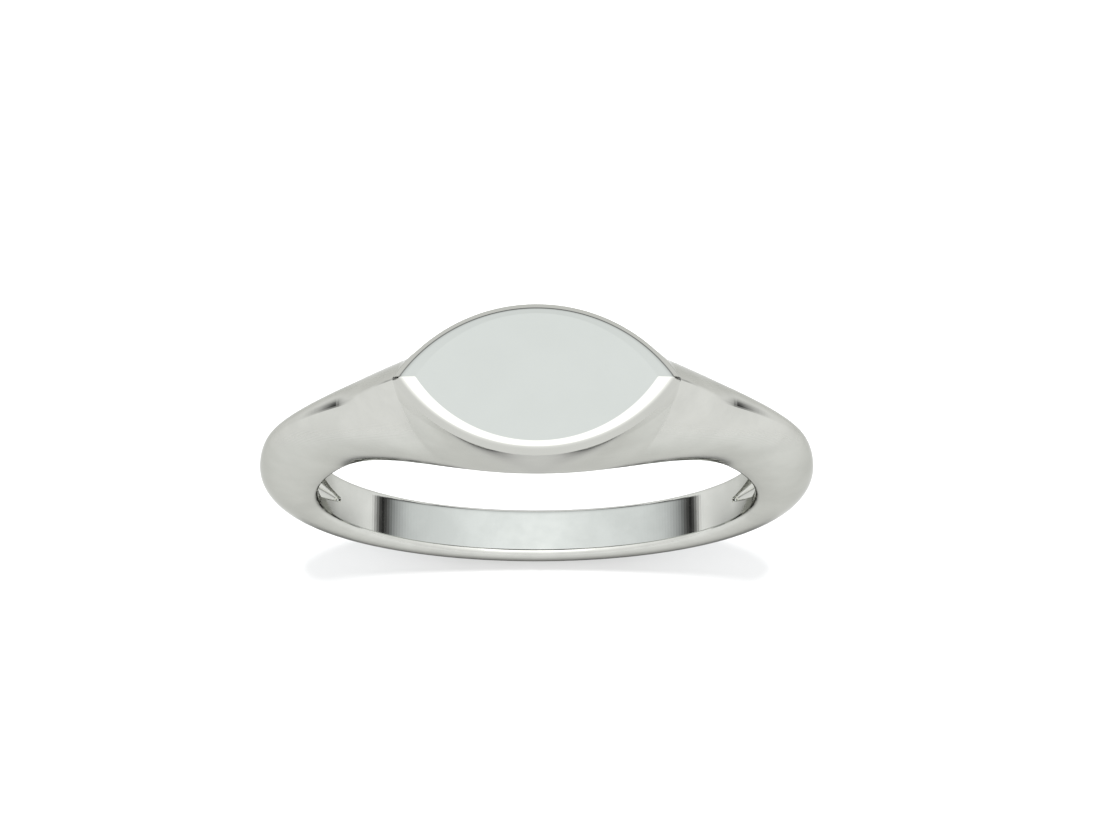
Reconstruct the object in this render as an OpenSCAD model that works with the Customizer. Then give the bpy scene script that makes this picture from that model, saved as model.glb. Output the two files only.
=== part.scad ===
// Signet ring with a marquise table: a bench-built ring of five soldered pieces.
// Frame: millimetres, origin at the centre of the finger hole, hole axis along Y,
// the table faces +Z and the ring is symmetric left to right (X) and front to back (Y).
// Sections are taken in planes through the Y axis, at an angle from +Z round to -Z.

/* [Finger hole] */
// radius of the round finger hole
bore_r = 8.65; // [8.2:0.05:9.2]
// radius of the eased edge on each side of the hole
ease = 0.25; // [0.15:0.05:0.3]

/* [Band] */
// outside radius of the band at the bottom
band_r = 10.6; // [10.4:0.1:11]
// extra thickness of the band at the sides
side_r = 0.25; // [0:0.05:0.4]
// half width of the band's walls at the bottom
band_w = 1.03; // [0.95:0.01:1.2]
// half width of the walls at the narrowest place below the head
waist_w = 0.87; // [0.8:0.01:1]
// how far the band's sides swell outwards
swell = 0.3; // [0.1:0.05:0.4]

/* [Shoulders] */
// rise of the shoulder crest per degree
crest_rise = 0.0565; // [0.05:0.0005:0.06]
// angle from the top at which the crest levels out into the band
crest_end = 74; // [70:1:80]
// softness of that levelling
crest_soft = 6.8; // [5:0.1:9]
// sharpness of the crest line beside the table
crest_edge = 0.12; // [0.05:0.01:0.16]
// angle from the top at which the crest line has gone, rounded into the shoulder
crest_round = 35; // [34:1:50]
// angle from the top at which the head's flare has gone
flare_end = 56; // [50:1:60]

/* [Head and table] */
// half width of the head's walls at the finger hole
head_w = 2.21; // [2:0.01:2.4]
// height of the table edge above the centre of the hole
edge_z = 13.25; // [13:0.05:13.6]
// half length of the table edge
edge_l = 5; // [4.8:0.05:5.2]
// half width of the table edge
edge_w = 2.75; // [2.6:0.01:2.85]
// height of the edge's chamfer
chamfer_h = 0.27; // [0.2:0.01:0.35]
// height of the flat border bevel inside it
bevel_h = 0.045; // [0.03:0.005:0.08]
// underside of the soldered table plate
plate_z = 12.75; // [12.65:0.05:12.9]

/* [Hollow] */
// angle from the top at which each end of the hollow runs out
hollow_end = 112; // [109:1:114]
// metal left outside the hollow
wall = 1.15; // [1.1:0.05:1.4]
// metal left above the hollow where it meets the head
roof = 1; // [0.9:0.05:1.1]
// width of the land left on each side of the hollow at the finger hole, where the band is narrowest
land = 0.2; // [0.18:0.01:0.3]
// how much of the head's flare is added to that land
land_rise = 0.45; // [0.4:0.05:0.6]

/* [Hidden] */
$fn = 96;
joint = 104;                       // solder joint between shoulder and shank, from the top
tip = atan(edge_l / edge_z);       // angle of the table's points
arc_r = (edge_l * edge_l + edge_w * edge_w) / (2 * edge_w);  // radius of the table's two arcs
fine = 0.03;                       // half width of the crest line
nf = 1;
nt = 9;

function softplus(x) = x > 30 ? x : ln(1 + exp(x));
function ramp(a, b, x) = let (u = min(1, max(0, (x - a) / (b - a)))) u * u * (3 - 2 * u);
function mix(a, b, u) = a * (1 - u) + b * u;

// radius of the crest: the middle of the outside
function swept(p) = band_r + side_r * pow(sin(p), 2) + crest_rise * crest_soft * softplus((crest_end - p) / crest_soft);
function crest(p) = p <= tip ? edge_z / cos(p)
    : swept(p) + (edge_z / cos(tip) - swept(tip)) * exp(-(p - tip) / 6);
// half width of the flat top
function flat(p) = p >= tip ? fine
    : max(fine, sqrt(max(0, pow(arc_r, 2) - pow(edge_z * tan(p), 2))) - (arc_r - edge_w));
// half width of the walls
function half(p) = waist_w + (p < flare_end ? (head_w - waist_w) * pow(cos(90 * p / flare_end), 2) : 0)
    + (band_w - waist_w) * ramp(50, 100, p);

// how far the crest is worn down towards its rounded part, as a share of the section's height
function worn(p) = crest_edge * (ramp(22, crest_round, p) - ramp(22, 62, p));

// one side of a section: [radius, half width] from inside the hole to the crest
function side(p) =
    let (y = half(p), m = flat(p), r0 = bore_r + ease, rt = crest(p), h = rt - r0,
         u = ramp(0, 20, p), s = crest_edge * (1 - ramp(22, 62, p)) * ramp(0, 20, p),
         w = swell * ramp(0, 30, p),
         a = [r0, y], d = [rt - worn(p) * h, m],
         b = mix([r0 + h / 3, y + (m - y) / 3], [r0 + 0.55 * h, y + w], u),
         c = mix([r0 + 2 * h / 3, y + 2 * (m - y) / 3], [rt - s * h, m + 0.55 * (y - m)], u))
    concat([[bore_r - 0.2, y - 1.7 * ease]],
           [for (i = [1 : nf]) let (t = 90 * i / (nf + 1)) [bore_r + ease * (1 - cos(t)), y - ease + ease * sin(t)]],
           [for (i = [0 : nt]) let (t = i / nt, v = 1 - t)
               v * v * v * a + 3 * v * v * t * b + 3 * v * t * t * c + t * t * t * d]);

// the hollow's half width at the finger hole, and its outer radius; past its end it
// shrinks to inside the finger hole, where there is no metal
function hollow_w(p) = (half(p) - ease - land - land_rise * (half(p) - waist_w)) * mix(0.18, 1, min(1, max(0, (hollow_end - p) / 16)));
function hollow_r(p) = p > hollow_end ? bore_r - 0.15
    : mix(bore_r + 0.15, crest(p) - mix(roof, wall, ramp(20, 36, p)), ramp(0, 32, hollow_end - p));
function notch(p, deep) =
    let (w = hollow_w(p), r = deep ? hollow_r(p) : bore_r - 0.15)
    [[bore_r - 0.2, w - 0.04], [mix(bore_r, r, 0.4), w], [mix(bore_r, r, 0.78), w * 0.8], [r, w * 0.32]];

function place(p, q) = [q[0] * sin(p), q[1], q[0] * cos(p)];
function back(s) = let (n = len(s)) [for (i = [n - 1 : -1 : 0]) s[i]];
function flip(s) = [for (q = s) [q[0], -q[1], q[2]]];
// a closed ring of points: up the +Y side to the crest, down the -Y side, then round the hollow
function closed(s, h) = concat(s, back(flip(s)), flip(h), back(h));
function section(p) = [for (q = side(p > 180 ? 360 - p : abs(p))) place(p, q)];
function inside(p, deep) = [for (q = notch(p > 180 ? 360 - p : abs(p), deep)) place(p, q)];
function ring(p) = closed(section(p), inside(p, true));
// the head's rings carry the table's chamfer and border as well
function table_ring(p, deep) =
    let (x = edge_z * tan(p), m = flat(abs(p)))
    closed(concat(section(p),
        [[x * 0.95, m * 0.913, edge_z + chamfer_h],
         [x * 0.842, m * 0.838, edge_z + chamfer_h + bevel_h]]), inside(p, deep));

// skin a list of equal rings; the ends are closed by strips between the outside and the hollow
module skin(rings) {
    n = len(rings[0]);
    k = len(rings);
    m = (n - 8) / 2;             // points on one side
    e = nf + nt + 1;             // the crest point
    pts = [for (r = rings) for (q = r) q];
    walls = [for (i = [0 : k - 2]) for (j = [0 : n - 1])
        let (a = i * n + j, b = i * n + (j + 1) % n, c = b + n, d = a + n)
        each [[a, b, c], [a, c, d]]];
    step = [nf + 2, nf + 5, nf + 7];
    // which hollow point each outside edge is joined to
    function at(j) = j < step[0] ? 0 : j < step[1] ? 1 : j < step[2] ? 2 : 3;
    function np(i) = n - 1 - i;
    function nm(i) = 2 * m + i;
    function om(j) = 2 * m - 1 - j;
    cap = concat(
        [for (j = [0 : e - 1]) each [[j, np(at(j)), j + 1], [om(j), om(j + 1), nm(at(j))]]],
        [for (i = [0 : 2]) each [[np(i), np(i + 1), step[i]], [nm(i), om(step[i]), nm(i + 1)]]],
        [[np(3), nm(3), om(e)], [np(3), om(e), e]],
        [for (j = [e : 1 : m - 2]) each [[j, om(j), om(j + 1)], [j, om(j + 1), j + 1]]]);
    o = (k - 1) * n;
    last = [for (f = cap) [f[0] + o, f[2] + o, f[1] + o]];
    polyhedron(points = pts, faces = concat(walls, cap, last), convexity = 8);
}

module bore(turn = 0) rotate([90, turn, 0]) cylinder(r = bore_r, h = 12, center = true);

module head_body(deep) skin([for (i = [-10 : 10]) table_ring(i * tip / 10, deep)]);

module shank() {
    run = concat([joint, mix(joint, hollow_end, 0.5), hollow_end, hollow_end + 0.5],
                 [for (i = [1 : 15]) mix(hollow_end, 180, i / 16)]);
    color([0.8, 0.81, 0.79])
    difference() {
        skin([for (p = concat(run, [180], [for (q = back(run)) 360 - q])) ring(p)]);
        bore();
    }
}

module right_shoulder() {
    color([0.8, 0.81, 0.79])
    difference() {
        skin([for (i = [0 : 22]) ring(mix(tip, joint, i / 22))]);
        bore(180);
    }
}

module left_shoulder() mirror([1, 0, 0]) right_shoulder();

module head_collar() {
    color([0.8, 0.81, 0.79])
    difference() {
        intersection() {
            head_body(true);
            translate([-8, -5, 0]) cube([16, 10, plate_z]);
        }
        bore();
    }
}

module table_plate() {
    color([0.82, 0.84, 0.82])
    intersection() {
        head_body(false);
        translate([-8, -5, plate_z]) cube([16, 10, 4]);
    }
}

shank();
left_shoulder();
right_shoulder();
head_collar();
table_plate();
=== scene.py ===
import math

import bpy
import numpy as np
from mathutils import Matrix, Vector
from mathutils.geometry import tessellate_polygon


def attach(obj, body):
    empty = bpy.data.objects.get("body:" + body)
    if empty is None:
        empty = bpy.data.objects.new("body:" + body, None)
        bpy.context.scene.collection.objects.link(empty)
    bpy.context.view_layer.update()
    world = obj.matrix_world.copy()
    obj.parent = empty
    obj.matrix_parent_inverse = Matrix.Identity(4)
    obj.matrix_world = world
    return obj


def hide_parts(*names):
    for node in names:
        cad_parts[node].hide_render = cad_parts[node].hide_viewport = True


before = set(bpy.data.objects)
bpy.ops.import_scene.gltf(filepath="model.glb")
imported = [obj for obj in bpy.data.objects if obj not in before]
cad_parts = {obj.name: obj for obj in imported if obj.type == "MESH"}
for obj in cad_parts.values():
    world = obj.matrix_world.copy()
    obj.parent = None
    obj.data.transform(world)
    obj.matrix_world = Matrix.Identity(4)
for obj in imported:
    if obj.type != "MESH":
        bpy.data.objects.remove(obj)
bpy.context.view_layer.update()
MM = 0.001
METAL = 0.52  # how much the metal reflects

# ---------------------------------------------------------------- the ring's shape, in millimetres
BORE = 8.65
EASE = 0.25
BAND_R = 10.6
SIDE_R = 0.25
BAND_W = 1.03
WAIST_W = 0.87
SWELL = 0.3
CREST_RISE = 0.0565
CREST_END = 74.0
CREST_SOFT = 6.8
CREST_EDGE = 0.12
CREST_ROUND = 35.0
FLARE_END = 56.0
HEAD_W = 2.21
EDGE_Z = 13.25
EDGE_L = 5.0
EDGE_W = 2.75
CHAMFER_H = 0.27
BEVEL_H = 0.045
PLATE_Z = 12.75
HOLLOW_END = 112.0
WALL = 1.15
ROOF = 1.0
LAND = 0.2
LAND_RISE = 0.45
JOINT = 104.0
TIP = math.degrees(math.atan(EDGE_L / EDGE_Z))
ARC_R = (EDGE_L**2 + EDGE_W**2) / (2 * EDGE_W)
FINE = 0.03


def sind(a):
    return math.sin(math.radians(a))


def cosd(a):
    return math.cos(math.radians(a))


def ramp(a, b, x):
    u = min(1.0, max(0.0, (x - a) / (b - a)))
    return u * u * (3 - 2 * u)


def mix(a, b, u):
    return a * (1 - u) + b * u


def softplus(x):
    return x if x > 30 else math.log(1 + math.exp(x))


def swept(p):
    return BAND_R + SIDE_R * sind(p) ** 2 + CREST_RISE * CREST_SOFT * softplus((CREST_END - p) / CREST_SOFT)


def crest(p, head):
    if head:
        return EDGE_Z / cosd(p)
    return swept(p) + (EDGE_Z / cosd(TIP) - swept(TIP)) * math.exp(-(p - TIP) / 6)


def flat(p, head):
    if not head:
        return FINE
    return max(FINE, math.sqrt(max(0.0, ARC_R**2 - (EDGE_Z * math.tan(math.radians(p))) ** 2)) - (ARC_R - EDGE_W))


def half(p):
    flare = (HEAD_W - WAIST_W) * cosd(90 * p / FLARE_END) ** 2 if p < FLARE_END else 0.0
    return WAIST_W + flare + (BAND_W - WAIST_W) * ramp(50, 100, p)


def controls(p, head):
    """The four control points of one side's curve, each (radius, half width)."""
    y, m, r0, rt = half(p), flat(p, head), BORE + EASE, crest(p, head)
    h = rt - r0
    u = ramp(0, 20, p)
    s = CREST_EDGE * (1 - ramp(22, 62, p)) * ramp(0, 20, p)
    w = SWELL * ramp(0, 30, p)
    worn = CREST_EDGE * (ramp(22, CREST_ROUND, p) - ramp(22, 62, p))
    a, d = np.array([r0, y]), np.array([rt - worn * h, m])
    b = mix(np.array([r0 + h / 3, y + (m - y) / 3]), np.array([r0 + 0.55 * h, y + w]), u)
    c = mix(np.array([r0 + 2 * h / 3, y + 2 * (m - y) / 3]), np.array([rt - s * h, m + 0.55 * (y - m)]), u)
    return a, b, c, d


def bezier(q, t):
    a, b, c, d = q
    v = 1 - t
    return v**3 * a + 3 * v * v * t * b + 3 * v * t * t * c + t**3 * d


def bezier_d(q, t):
    a, b, c, d = q
    v = 1 - t
    return 3 * (v * v * (b - a) + 2 * v * t * (c - b) + t * t * (d - c))


def hollow_w(p):
    return (half(p) - EASE - LAND - LAND_RISE * (half(p) - WAIST_W)) * mix(0.18, 1, min(1, max(0, (HOLLOW_END - p) / 16)))


def hollow_r(p):
    return mix(BORE + 0.15, crest(p, p <= TIP) - mix(ROOF, WALL, ramp(20, 36, p)), ramp(0, 32, HOLLOW_END - p))


def tip_round(p):
    """The hollow's blunt end, rounded off over its last part of a degree."""
    x = (p - (HOLLOW_END - 0.3)) / 0.3
    return 1.0 if x <= 0 else math.sqrt(max(0.0, 1 - min(1.0, x) ** 2))


def split_t(p, head):
    """Where the side's curve crosses the underside of the table plate."""
    q = controls(p, head)
    lo, hi = 0.0, 1.0
    for _ in range(40):
        t = (lo + hi) / 2
        if bezier(q, t)[0] * cosd(p) < PLATE_Z:
            lo = t
        else:
            hi = t
    return (lo + hi) / 2


T_TIP = split_t(TIP, True)
N_LOW, N_UP, N_FIL, N_LAND, N_HOL = 22, 8, 8, 3, 10
HOLLOW_N = 2.8


def profile(p, head):
    """One half of a section as named runs of (radius, half width, d radius, d half width)."""
    runs = {}
    q = controls(p, head)
    a = q[0]
    first = bezier_d(q, 0.0)
    first = first / np.linalg.norm(first)
    lean = math.atan2(first[1], first[0])
    w_h = hollow_w(p) * tip_round(p) if p < HOLLOW_END else 0.0
    y_a = a[1] - EASE / math.cos(lean)
    if p <= HOLLOW_END + 1e-9:
        deep = (hollow_r(p) - BORE) * tip_round(p)
        run = []
        for i in range(N_HOL + 1):
            th = math.pi / 2 * (1 - i / N_HOL)
            c, s = max(1e-9, math.cos(th)), max(1e-9, math.sin(th))
            e = 2 / HOLLOW_N
            run.append([BORE + deep * s**e, w_h * c**e, 0, 0])
        run = np.array(run)
        for i in range(N_HOL + 1):
            j, k = max(0, i - 1), min(N_HOL, i + 1)
            run[i, 2:] = run[k, :2] - run[j, :2]
        run[0, 2:] = [0, 1]
        run[-1, 2:] = [-1, 0]
        run[0, 1] = 0
        run[-1, 0] = BORE
        runs["hollow"] = run
    runs["land"] = np.array([[BORE, mix(w_h, y_a, i / N_LAND), 0, 1] for i in range(N_LAND + 1)])
    run = []
    for i in range(N_FIL + 1):
        t = (math.pi / 2 - lean) * i / N_FIL
        run.append([BORE + EASE * (1 - math.cos(t)), y_a + EASE * math.sin(t), math.sin(t), math.cos(t)])
    run.append([a[0], a[1], first[0], first[1]])
    runs["fillet"] = np.array(run)
    t_mid = split_t(p, True) if head else T_TIP
    for name, ts in (
        ("low", [t_mid * i / N_LOW for i in range(N_LOW + 1)]),
        ("up", [mix(t_mid, 1, i / N_UP) for i in range(N_UP + 1)]),
    ):
        runs[name] = np.array([[*bezier(q, t), *bezier_d(q, t)] for t in ts])
    if not head:
        last = runs["up"][-1]
        runs["crest"] = np.array([[last[0], FINE, last[2], last[3]], [last[0], 0, 0, -1]])
    return runs


def to3(p, r, w):
    """A point of a section at a signed angle p from the top."""
    return np.array([r * sind(p), w, r * cosd(p)])


def grid(angles, head, name, side, lo, hi):
    """Points and unit normals of one run over a list of signed angles. lo and hi limit where slopes are taken."""
    pts, nrm = [], []
    step = 0.02

    def at(p):
        m = abs(p) if abs(p) <= 180 else 360 - abs(p)
        run = profile(m, head)[name]
        return np.array([to3(p, r, side * w) for r, w, _, _ in run]), run

    for p in angles:
        here, run = at(p)
        pa, pb = max(lo, p - step), min(hi, p + step)
        m = abs(p) if abs(p) <= 180 else 360 - abs(p)
        if name == "hollow" and m > HOLLOW_END - 2 * step:
            pa, pb = (p - step, p) if 0 < p < 180 else (p, p + step)
        d_p = at(pb)[0] - at(pa)[0]
        tan = np.array([to3(p, r, side * w) for r, w in run[:, 2:]])
        n = np.cross(tan, d_p) * (-side)
        length = np.linalg.norm(n, axis=1)
        n = n / np.maximum(length, 1e-12)[:, None]
        pts.append(here)
        nrm.append(n)
    return np.array(pts), np.array(nrm)


class Builder:
    """Collects faces with their own corner normals and makes one closed mesh."""

    def __init__(self):
        self.index, self.points, self.faces, self.normals = {}, [], [], []

    def vert(self, p):
        key = tuple(int(round(c * 2e5)) for c in p)
        if key not in self.index:
            self.index[key] = len(self.points)
            self.points.append([float(c) * MM for c in p])
        return self.index[key]

    def face(self, pts, nrm):
        ids = [self.vert(p) for p in pts]
        keep = [i for i in range(len(ids)) if ids[i] != ids[i - 1]]
        if len(keep) < 3 or len({ids[i] for i in keep}) < 3:
            return
        self.faces.append([ids[i] for i in keep])
        self.normals.append([nrm[i] for i in keep])

    def patch(self, pts, nrm, flip):
        for i in range(len(pts) - 1):
            for j in range(pts.shape[1] - 1):
                q = [(i, j), (i + 1, j), (i + 1, j + 1), (i, j + 1)]
                if flip:
                    q = q[::-1]
                a = np.array([pts[k] for k in q])
                g = np.cross(a[2] - a[0], a[3] - a[1])
                size = np.linalg.norm(g)
                if size < 1e-12:
                    continue
                g = g / size
                n = [nrm[k] if nrm[k] @ g > 0.2 else g for k in q]
                self.face(a, n)

    def cap(self, loop, normal):
        """A flat face over a closed loop of points, facing normal."""
        loop = [np.array(p, float) for p in loop]
        clean = [p for i, p in enumerate(loop) if np.linalg.norm(p - loop[i - 1]) > 1e-5]
        n = np.array(normal, float)
        for tri in tessellate_polygon([[Vector(p) for p in clean]]):
            a = [clean[k] for k in tri]
            g = np.cross(a[1] - a[0], a[2] - a[0])
            if np.linalg.norm(g) < 1e-10:
                continue
            if g @ n < 0:
                a = a[::-1]
            self.face(a, [n] * 3)

    def object(self, name, material):
        mesh = bpy.data.meshes.new(name)
        mesh.from_pydata(self.points, [], self.faces)
        mesh.polygons.foreach_set("use_smooth", [True] * len(mesh.polygons))
        mesh.materials.append(material)
        mesh.normals_split_custom_set([tuple(float(c) for c in n) for f in self.normals for n in f])
        mesh.update()
        if mesh.validate(verbose=True):
            print("mesh repaired:", name)
        o = bpy.data.objects.new(name, mesh)
        bpy.context.scene.collection.objects.link(o)
        return o


def section_loop(p, head, until=None):
    """A section's outline as a loop of points; until stops it at the plate's underside."""
    m = abs(p) if abs(p) <= 180 else 360 - abs(p)
    runs = profile(m, head)
    names = [n for n in ("hollow", "land", "fillet", "low", "up", "crest") if n in runs]
    if until:
        names = names[: names.index(until) + 1]
    side = [q[:2] for n in names for q in runs[n]]
    up = [to3(p, r, w) for r, w in side]
    down = [to3(p, r, -w) for r, w in side]
    return up + down[::-1]


SOFT = 5.0  # degrees over which the shading softens on each side of the joint at the table's tips


def soften(angles, head, name, side, nrm):
    """Across the polished joint at the table's tips both pieces' normals run into their mean."""
    for s in (1, -1):
        if not any(abs(a - s * TIP) < SOFT for a in angles):
            continue
        one = grid([s * TIP], True, name, side, -TIP, TIP)[1][0]
        two = grid([s * TIP], False, name, side, *((TIP, 200) if s > 0 else (-200, -TIP)))[1][0]
        mean = one + two
        mean = mean / np.linalg.norm(mean, axis=1)[:, None]
        for i, a in enumerate(angles):
            w = 1 - ramp(0, SOFT, abs(a - s * TIP))
            if w > 0:
                n = nrm[i] * (1 - w) + mean * w
                nrm[i] = n / np.linalg.norm(n, axis=1)[:, None]
    return nrm


def run_patches(b, angles, head, names, lo, hi):
    for name in names:
        for side in (1, -1):
            pts, nrm = grid(angles, head, name, side, lo, hi)
            if name in ("fillet", "low", "up"):
                nrm = soften(angles, head, name, side, nrm)
            b.patch(pts, nrm, side > 0)


def band_piece(name, angles, material, lo, hi):
    b = Builder()
    run_patches(b, angles, False, ["land", "fillet", "low", "up", "crest"], lo, hi)
    hollow = [a for a in angles if (abs(a) if abs(a) <= 180 else 360 - abs(a)) <= HOLLOW_END + 1e-9]
    first = [a for a in hollow if a < 180]
    second = [a for a in hollow if a > 180]
    for part in (first, second):
        if len(part) > 1:
            run_patches(b, part, False, ["hollow"], lo, hi)
    for p, s in ((angles[0], -1), (angles[-1], 1)):
        b.cap(section_loop(p, False), [s * cosd(p), 0, -s * sind(p)])
    return b.object(name, material)


def spread(a, b, n):
    return [a + (b - a) * i / n for i in range(n + 1)]


# ---------------------------------------------------------------- materials
def node(tree, kind, **inputs):
    n = tree.nodes.new(kind)
    for k, v in inputs.items():
        n.inputs[k.replace("_", " ")].default_value = v
    return n


def metal(name, tint_a, tint_b, rough_a, rough_b, wave, grain):
    """Polished white metal: slight clouding of the colour, soft polishing marks in the roughness, and a very shallow unevenness left by hand polishing."""
    m = bpy.data.materials.new(name)
    m.use_nodes = True
    t = m.node_tree
    t.nodes.clear()
    out = t.nodes.new("ShaderNodeOutputMaterial")
    bsdf = t.nodes.new("ShaderNodeBsdfPrincipled")
    bsdf.inputs["Metallic"].default_value = 1.0
    bsdf.inputs["IOR"].default_value = 1.45
    bsdf.inputs["Specular Tint"].default_value = (0.6, 0.6, 0.58, 1)
    t.links.new(bsdf.outputs[0], out.inputs["Surface"])
    co = t.nodes.new("ShaderNodeTexCoord")
    clouds = t.nodes.new("ShaderNodeTexNoise")
    clouds.inputs["Scale"].default_value = 620.0
    clouds.inputs["Detail"].default_value = 4.0
    clouds.inputs["Roughness"].default_value = 0.55
    t.links.new(co.outputs["Object"], clouds.inputs["Vector"])
    ramp_c = t.nodes.new("ShaderNodeValToRGB")
    ramp_c.color_ramp.elements[0].position = 0.36
    ramp_c.color_ramp.elements[0].color = (*tint_a, 1)
    ramp_c.color_ramp.elements[1].position = 0.64
    ramp_c.color_ramp.elements[1].color = (*tint_b, 1)
    t.links.new(clouds.outputs["Fac"], ramp_c.inputs["Fac"])
    t.links.new(ramp_c.outputs["Color"], bsdf.inputs["Base Color"])
    marks = t.nodes.new("ShaderNodeTexNoise")
    marks.inputs["Scale"].default_value = 2400.0
    marks.inputs["Detail"].default_value = 5.0
    t.links.new(co.outputs["Object"], marks.inputs["Vector"])
    ramp_r = t.nodes.new("ShaderNodeMapRange")
    ramp_r.inputs["From Min"].default_value = 0.3
    ramp_r.inputs["From Max"].default_value = 0.7
    ramp_r.inputs["To Min"].default_value = rough_a
    ramp_r.inputs["To Max"].default_value = rough_b
    t.links.new(marks.outputs["Fac"], ramp_r.inputs["Value"])
    t.links.new(ramp_r.outputs["Result"], bsdf.inputs["Roughness"])
    uneven = t.nodes.new("ShaderNodeTexNoise")
    uneven.inputs["Scale"].default_value = 420.0
    uneven.inputs["Detail"].default_value = 2.0
    t.links.new(co.outputs["Object"], uneven.inputs["Vector"])
    low = t.nodes.new("ShaderNodeBump")
    low.inputs["Strength"].default_value = 1.0
    low.inputs["Distance"].default_value = wave
    t.links.new(uneven.outputs["Fac"], low.inputs["Height"])
    high = t.nodes.new("ShaderNodeBump")
    high.inputs["Strength"].default_value = 1.0
    high.inputs["Distance"].default_value = grain
    t.links.new(marks.outputs["Fac"], high.inputs["Height"])
    t.links.new(low.outputs["Normal"], high.inputs["Normal"])
    t.links.new(high.outputs["Normal"], bsdf.inputs["Normal"])
    return m


body_metal = metal("polished_metal", (0.53, 0.535, 0.506), (0.58, 0.585, 0.554), 0.05, 0.085, 6e-6, 2e-7)
table_metal = metal("table_metal", (0.516, 0.521, 0.492), (0.524, 0.529, 0.5), 0.045, 0.06, 4e-7, 5e-8)

# ---------------------------------------------------------------- the five pieces
steps_shoulder = sorted(set(spread(TIP, 34, 36) + spread(34, JOINT, 84)))
near_end = [HOLLOW_END - d for d in (1.6, 1.2, 0.9, 0.7, 0.6, 0.5, 0.4, 0.3, 0.22, 0.15, 0.1, 0.06, 0.03, 0.012, 0.0)]
steps_shank = sorted(set(spread(JOINT, HOLLOW_END - 2, 6) + near_end + spread(HOLLOW_END + 0.4, 180, 68)))
steps_shank = steps_shank + [360 - a for a in steps_shank[-2::-1]]
steps_head = sorted(set(spread(-TIP, -TIP * 0.8, 16) + spread(-TIP * 0.8, TIP * 0.8, 64) + spread(TIP * 0.8, TIP, 16)))

shank = band_piece("shank_polished", steps_shank, body_metal, 0, 360)
right = band_piece("right_shoulder_polished", steps_shoulder, body_metal, TIP, 200)
left = band_piece("left_shoulder_polished", [-a for a in steps_shoulder[::-1]], body_metal, -200, -TIP)

collar = Builder()
run_patches(collar, steps_head, True, ["hollow", "land", "fillet", "low"], -TIP, TIP)
for p, s in ((-TIP, -1), (TIP, 1)):
    collar.cap(section_loop(p, True, "low"), [s * cosd(p), 0, -s * sind(p)])
rim = [to3(p, *profile(abs(p), True)["low"][-1][:2]) for p in steps_head]
collar.cap(rim + [q * [1, -1, 1] for q in rim[::-1]], [0, 0, 1])
collar = collar.object("head_collar_polished", body_metal)

# the table's edge as (share of length, share of width, height): chamfer, rounded arris, shallow border bevel
P0 = np.array([1.0, 1.0, 0.0])
P1 = np.array([0.95, 0.913, CHAMFER_H])
P2 = np.array([0.842, 0.838, CHAMFER_H + BEVEL_H])


def edge_run():
    s, e = mix(P1, P0, 0.33), mix(P1, P2, 0.3)
    run = [(P0, P1 - P0), (mix(P0, s, 0.5), P1 - P0)]
    for i in range(9):
        t = i / 8
        run.append(((1 - t) ** 2 * s + 2 * t * (1 - t) * P1 + t * t * e, 2 * ((1 - t) * (P1 - s) + t * (e - P1))))
    run += [(mix(e, P2, 0.5), P2 - P1), (P2, P2 - P1)]
    return run


EDGE = edge_run()


def share(m, q):
    """Half width at a point of the edge: it closes to a point at the table's tips, and stays open a hair on the chamfer."""
    c = FINE * max(0.0, 1 - q[2] / (CHAMFER_H * 0.75))
    return q[1] * (m - FINE) * (EDGE_W - c) / (EDGE_W - FINE) + c


def table_at(p, side):
    x, m = EDGE_Z * math.tan(math.radians(p)), flat(abs(p), True)
    return np.array([[x * q[0], side * share(m, q), EDGE_Z + q[2]] for q, _ in EDGE])


plate = Builder()
run_patches(plate, steps_head, True, ["up"], -TIP, TIP)
for side in (1, -1):
    pts, nrm = [], []
    for p in steps_head:
        x, m = EDGE_Z * math.tan(math.radians(p)), flat(abs(p), True)
        a, b = table_at(max(-TIP, p - 0.02), side), table_at(min(TIP, p + 0.02), side)
        t = np.array([[x * d[0], side * m * d[1], d[2]] for _, d in EDGE])
        n = np.cross(t, b - a) * (-side)
        pts.append(table_at(p, side))
        nrm.append(n / np.linalg.norm(n, axis=1)[:, None])
    plate.patch(np.array(pts), np.array(nrm), side > 0)
top = [table_at(p, 1)[-1] for p in steps_head]
up = np.array([0.0, 0.0, 1.0])
for a, b in zip(top[:-1], top[1:]):
    plate.face([a * [1, -1, 1], b * [1, -1, 1], b, a], [up] * 4)
plate.cap(rim + [q * [1, -1, 1] for q in rim[::-1]], [0, 0, -1])
for p, s in ((-TIP, -1), (TIP, 1)):
    end = [to3(p, *q[:2]) for q in profile(TIP, True)["up"]]
    plate.cap(end + [q * [1, -1, 1] for q in end[::-1]], [s * cosd(p), 0, -s * sind(p)])
    strip = table_at(p, 1)
    for a, b in zip(strip[:-1], strip[1:]):
        quad = [a, a * [1, -1, 1], b * [1, -1, 1], b]
        if s < 0:
            quad = quad[::-1]
        g = np.cross(quad[2] - quad[0], quad[3] - quad[1])
        plate.face(quad, [g / np.linalg.norm(g)] * 4)
plate = plate.object("table_plate_polished", table_metal)

for piece, name, slot in (
    (shank, "shank", "polished_metal"),
    (left, "left_shoulder", "polished_metal"),
    (right, "right_shoulder", "polished_metal"),
    (collar, "head_collar", "polished_metal"),
    (plate, "table_plate", "table_metal"),
):
    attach(piece, "root")
    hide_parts(name)

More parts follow.
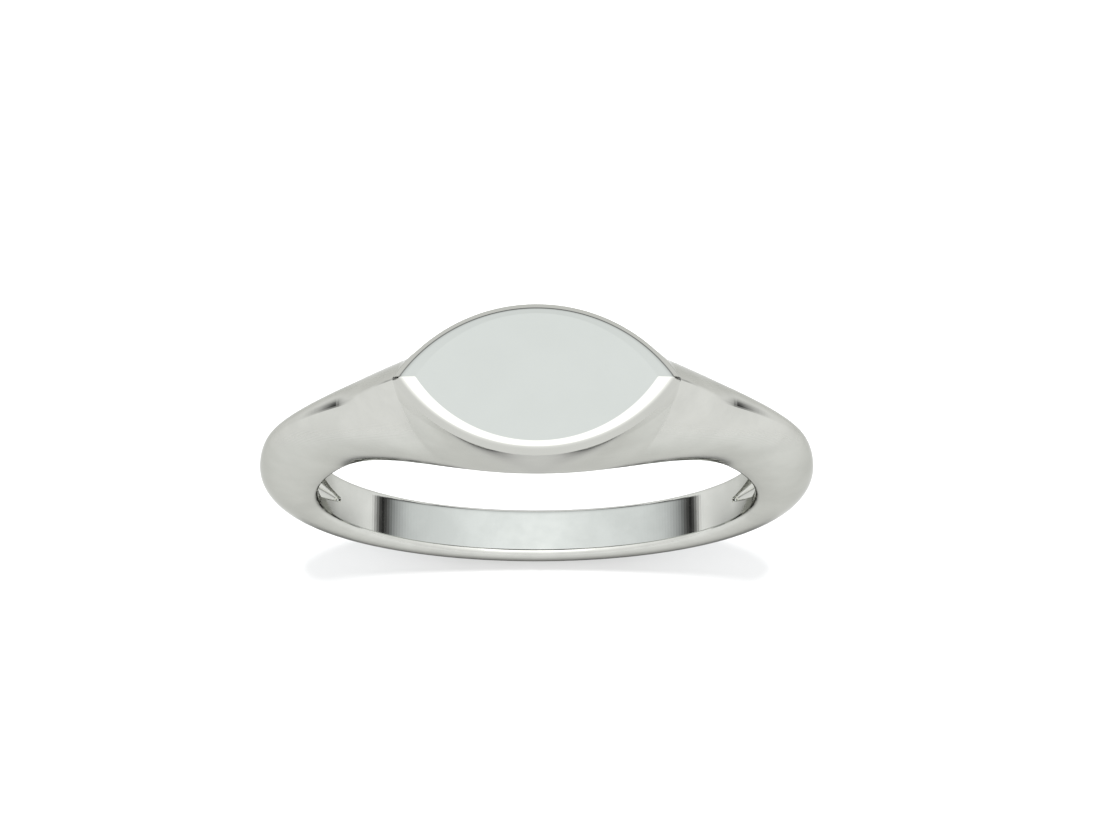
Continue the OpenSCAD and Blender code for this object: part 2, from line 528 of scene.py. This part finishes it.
# ---------------------------------------------------------------- floor
def disc(name, radius, z, inner=0.0, n=96):
    v, f = [], []
    for r in (inner, radius) if inner else (radius,):
        v += [(r * math.cos(2 * math.pi * i / n), r * math.sin(2 * math.pi * i / n), z) for i in range(n)]
    if inner:
        f = [(i, n + i, n + (i + 1) % n, (i + 1) % n) for i in range(n)]
    else:
        f = [tuple(range(n))]
    mesh = bpy.data.meshes.new(name)
    mesh.from_pydata(v, [], f)
    o = bpy.data.objects.new(name, mesh)
    bpy.context.scene.collection.objects.link(o)
    return o


floor_z = -BAND_R * MM


def paper(name, albedo, glow):
    """Plain matt paper; glow is the light that comes through it from below, as on a light table."""
    m = bpy.data.materials.new(name)
    m.use_nodes = True
    b = m.node_tree.nodes["Principled BSDF"]
    b.inputs["Base Color"].default_value = (albedo, albedo, albedo, 1)
    b.inputs["Roughness"].default_value = 0.9
    b.inputs["Specular IOR Level"].default_value = 0.1
    b.inputs["Emission Color"].default_value = (1, 1, 1, 1)
    b.inputs["Emission Strength"].default_value = glow
    return m


# the paper that the camera sees, lit from below as well so that it stays white and keeps only the contact shadow
floor = disc("floor", 0.6, floor_z)
floor.data.materials.append(paper("floor_paper", 0.5, 0.22))
floor.visible_glossy = False
floor.visible_diffuse = False
floor.visible_shadow = False
# the patch of paper round the ring that the metal mirrors; a painted contact shadow darkens its colour under the band
near = disc("floor_near", 0.036, floor_z - 2e-6)
near_paper_painted_shadow = paper("near_paper_painted_shadow", 0.43, 0.0)
near.data.materials.append(near_paper_painted_shadow)
# its rim fades out, so that no edge of it shows in the metal
tree = near_paper_painted_shadow.node_tree
coord = tree.nodes.new("ShaderNodeTexCoord")
dist = tree.nodes.new("ShaderNodeVectorMath")
dist.operation = "LENGTH"
fade = tree.nodes.new("ShaderNodeMapRange")
fade.interpolation_type = "SMOOTHSTEP"
fade.inputs["From Min"].default_value = 0.035
fade.inputs["From Max"].default_value = 0.02
tree.links.new(coord.outputs["Object"], dist.inputs[0])
tree.links.new(dist.outputs["Value"], fade.inputs["Value"])
tree.links.new(fade.outputs["Result"], tree.nodes["Principled BSDF"].inputs["Alpha"])


def calc(op, a, b=0.0, c=0.0):
    n = tree.nodes.new("ShaderNodeMath")
    n.operation = op
    for i, v in enumerate((a, b, c)):
        if isinstance(v, (int, float)):
            n.inputs[i].default_value = v
        else:
            tree.links.new(v, n.inputs[i])
    return n.outputs[0]


# painted shadow: the paper's colour is darkened right under the band, standing in for the contact shadow there, so that
# the band's lowest edge mirrors it dark
part = tree.nodes.new("ShaderNodeSeparateXYZ")
tree.links.new(coord.outputs["Object"], part.inputs[0])
ax = calc("ABSOLUTE", calc("MULTIPLY", part.outputs["X"], 1000.0))
ay = calc("ABSOLUTE", calc("MULTIPLY", part.outputs["Y"], 1000.0))
painted_shadow_spread_y = calc("POWER", calc("DIVIDE", ay, calc("MULTIPLY_ADD", ax, 0.12, 2.05)), 3.0)
painted_shadow_depth = calc("MAXIMUM", calc("MULTIPLY_ADD", calc("POWER", calc("DIVIDE", ax, 11.5), 2.0), -0.76, 0.76), 0.0)
shade = calc("MULTIPLY", calc("EXPONENT", calc("MULTIPLY", painted_shadow_spread_y, -1.0)), painted_shadow_depth)
# painted shadow: the base colour falls from 0.43 to about a quarter of that right under the band, less towards the
# band's ends
painted_shadow_tone = calc("MULTIPLY_ADD", shade, -0.43, 0.43)
grey = tree.nodes.new("ShaderNodeCombineColor")
for i in range(3):
    tree.links.new(painted_shadow_tone, grey.inputs[i])
tree.links.new(grey.outputs[0], tree.nodes["Principled BSDF"].inputs["Base Color"])
near.visible_camera = False
near.visible_shadow = False

# ---------------------------------------------------------------- studio: a pale tent, darker along the horizon behind the ring
world = bpy.data.worlds.new("studio")
bpy.context.scene.world = world
world.use_nodes = True
t = world.node_tree
t.nodes.clear()
out = t.nodes.new("ShaderNodeOutputWorld")
co = t.nodes.new("ShaderNodeTexCoord")
sep = t.nodes.new("ShaderNodeSeparateXYZ")
t.links.new(co.outputs["Generated"], sep.inputs[0])


def math_node(op, a, b=None, c=None, clamp=False):
    n = t.nodes.new("ShaderNodeMath")
    n.operation = op
    n.use_clamp = clamp
    for i, v in enumerate((a, b, c)):
        if v is None:
            continue
        if isinstance(v, (int, float)):
            n.inputs[i].default_value = v
        else:
            t.links.new(v, n.inputs[i])
    return n.outputs[0]


def smooth(v, a, b):
    n = t.nodes.new("ShaderNodeMapRange")
    n.interpolation_type = "SMOOTHSTEP"
    n.inputs["From Min"].default_value = a
    n.inputs["From Max"].default_value = b
    t.links.new(v, n.inputs["Value"])
    return n.outputs["Result"]


def ramp_node(v, stops):
    n = t.nodes.new("ShaderNodeValToRGB")
    e = n.color_ramp.elements
    while len(e) < len(stops):
        e.new(0.5)
    for el, (pos, col) in zip(e, stops):
        el.position = pos
        el.color = (*col, 1)
    t.links.new(v, n.inputs["Fac"])
    return n.outputs["Color"]


def mix_col(f, a, b):
    n = t.nodes.new("ShaderNodeMix")
    n.data_type = "RGBA"
    for s, v in ((n.inputs[0], f), (n.inputs[6], a), (n.inputs[7], b)):
        if isinstance(v, (tuple, float, int)):
            s.default_value = v
        else:
            t.links.new(v, s)
    return n.outputs[2]


x, y, z = sep.outputs["X"], sep.outputs["Y"], sep.outputs["Z"]
WARM = np.array([1.0, 1.0, 1.0])
COOL = np.array([1.0, 1.04, 1.065])


def level(deg, v, tint=WARM):
    """A stop at an elevation: v is the grey that the metal shows there."""
    lin = ((v / 255 + 0.055) / 1.055) ** 2.4 / METAL
    return ((sind(deg) + 1) / 2, tuple(float(c) for c in lin * tint))


height = math_node("MULTIPLY_ADD", z, 0.5, 0.5)
back = ramp_node(
    height,
    [
        level(-90, 206), level(-22, 203), level(-16, 186), level(-11, 163), level(-7, 116), level(-5, 62), level(-3.4, 26),
        level(-1.6, 48), level(0.5, 78), level(2.5, 101, COOL), level(4.5, 126, COOL), level(7.5, 148, COOL), level(11, 165, COOL),
        level(16, 181, COOL), level(21, 189, COOL), level(30, 198, COOL), level(41, 204, COOL), level(58, 211, COOL),
        level(75, 217, COOL), (1.0, level(75, 217, COOL)[1]),
    ],
)
front = ramp_node(
    height,
    [level(-90, 207), level(-8, 207), level(0, 202), level(10, 206), level(20, 213), level(30, 221), level(40, 231), level(50, 241), level(62, 252), (1.0, level(62, 252)[1])],
)
toward = smooth(y, 0.16, -0.04)
sky = mix_col(toward, back, front)
# the overhead soft box: a long pale patch from just behind the zenith towards the front
slope_y = math_node("DIVIDE", y, math_node("MAXIMUM", z, 0.02))
slope_x = math_node("ABSOLUTE", math_node("DIVIDE", x, math_node("MAXIMUM", z, 0.02)))
in_y = math_node("MULTIPLY", smooth(slope_y, 0.235, 0.215), smooth(slope_y, -1.0, -0.85))
box = math_node("MULTIPLY", in_y, smooth(slope_x, 0.66, 0.56))
sky = mix_col(math_node("MULTIPLY", box, math_node("GREATER_THAN", z, 0.02)), sky, (2.15, 2.15, 2.15, 1))
back_light = t.nodes.new("ShaderNodeBackground")
t.links.new(sky, back_light.inputs["Color"])
back_plain = t.nodes.new("ShaderNodeBackground")
back_plain.inputs["Color"].default_value = (1, 1, 1, 1)
pick = t.nodes.new("ShaderNodeMixShader")
path = t.nodes.new("ShaderNodeLightPath")
t.links.new(path.outputs["Is Camera Ray"], pick.inputs["Fac"])
t.links.new(back_light.outputs[0], pick.inputs[1])
t.links.new(back_plain.outputs[0], pick.inputs[2])
t.links.new(pick.outputs[0], out.inputs["Surface"])

# a soft key from just behind the zenith that lights the paper
key = bpy.data.lights.new("key", "AREA")
key.shape = "DISK"
key.size = 0.06
key.energy = 1.41
key_o = bpy.data.objects.new("key", key)
bpy.context.scene.collection.objects.link(key_o)
key_o.location = (0, 0.042, 0.297)
key_o.rotation_mode = "QUATERNION"
key_o.rotation_quaternion = Vector((0, 0.042, 0.297)).to_track_quat("Z", "Y")
key_o.visible_glossy = False
key_o.visible_camera = False
# only the lowest part of the band shades the paper from this light, which leaves a thin contact shadow
blockers = bpy.data.collections.new("key_blockers")
blockers.objects.link(shank)
key_o.light_linking.blocker_collection = blockers

# ---------------------------------------------------------------- camera
E = math.radians(74.786)
fwd = Vector((0, math.cos(E), -math.sin(E)))
cam = bpy.data.cameras.new("camera")
cam.sensor_width = 36
cam.lens = 80.84
cam.shift_x = (560 - 536.62) / 1120
cam.shift_y = (479.32 - 420) / 1120
cam.clip_start, cam.clip_end = 0.01, 10
cam_o = bpy.data.objects.new("camera", cam)
bpy.context.scene.collection.objects.link(cam_o)
cam_o.location = -fwd * 0.1
right_v = Vector((1, 0, 0))
up_v = right_v.cross(fwd)
cam_o.rotation_euler = Matrix((right_v, up_v, -fwd)).transposed().to_euler()
bpy.context.scene.camera = cam_o
bpy.context.scene.view_settings.view_transform = "Standard"
